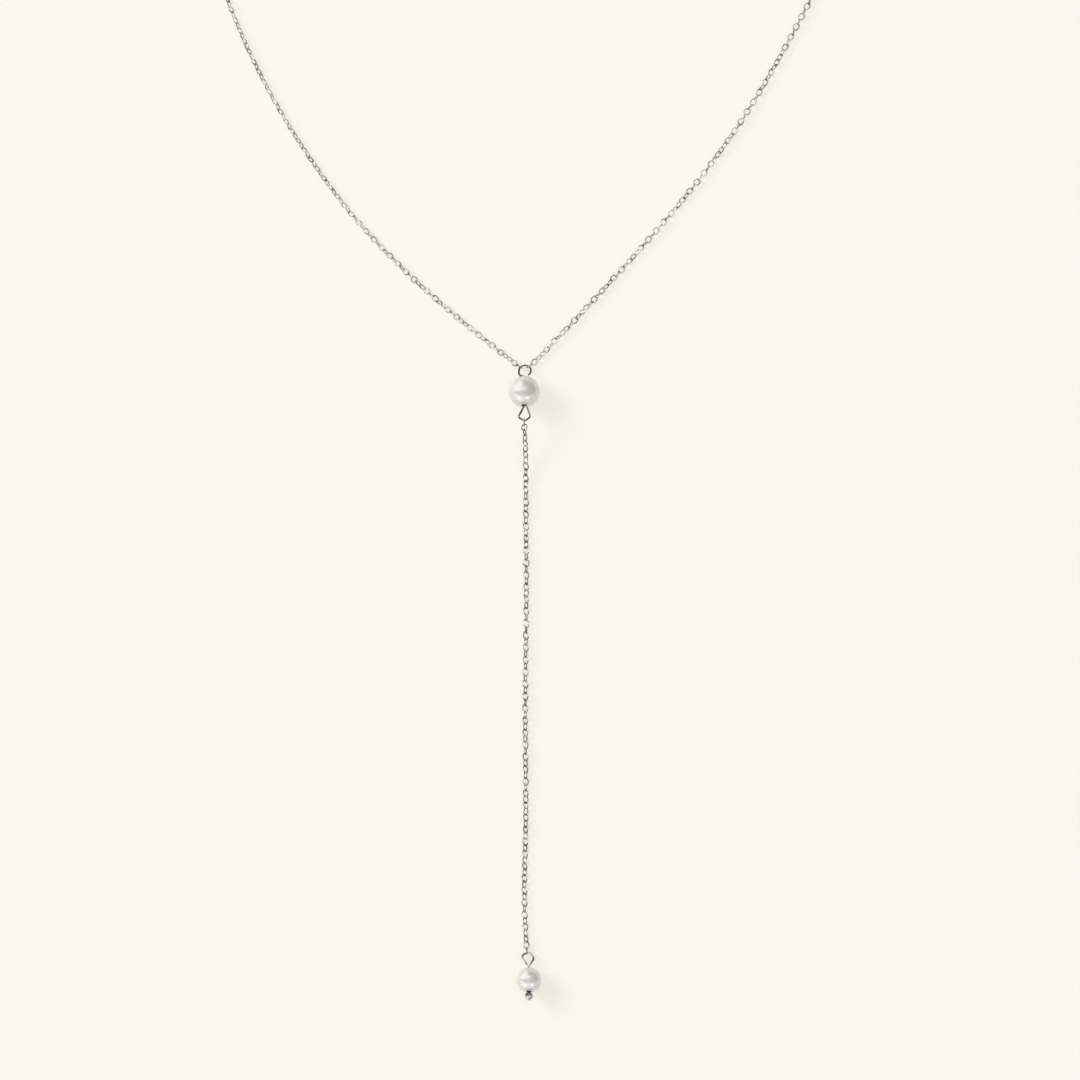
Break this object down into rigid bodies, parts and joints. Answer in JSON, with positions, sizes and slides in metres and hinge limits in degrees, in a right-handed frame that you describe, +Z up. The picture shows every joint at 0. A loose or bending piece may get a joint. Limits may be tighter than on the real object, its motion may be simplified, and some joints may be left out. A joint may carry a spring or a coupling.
{
  "type": "pearl drop necklace",
  "caption": "Fine cable-chain necklace: the neck loop meets at a drilled pearl on an eye pin, with one long straight drop chain ending in a smaller pearl and a metal ball.",
  "frame": {"origin": "middle of the whole necklace as it lies, on the surface that it lies on", "axes": "+Y from the drop's foot towards the clasp, +X to the right as seen from above, +Z up off the surface"},
  "size_m": [0.1262, 0.29, 0.0062],
  "materials": {
    "polished_metal": "polished silver-coloured metal, finely rubbed",
    "pearl": "off-white nacre with a soft lustre"
  },
  "bodies": {
    "root": {"neck_chain_left": "polished_metal", "neck_chain_right": "polished_metal", "drop_chain": "polished_metal", "neck_link_left": "polished_metal", "neck_link_right": "polished_metal", "drop_link_top": "polished_metal", "drop_link_bottom": "polished_metal", "clasp_link": "polished_metal", "ring_link": "polished_metal", "junction_pin": "polished_metal", "end_pin": "polished_metal", "clasp": "polished_metal", "end_ring": "polished_metal", "junction_pearl": "pearl", "end_pearl": "pearl"}
  },
  "joints": []
}
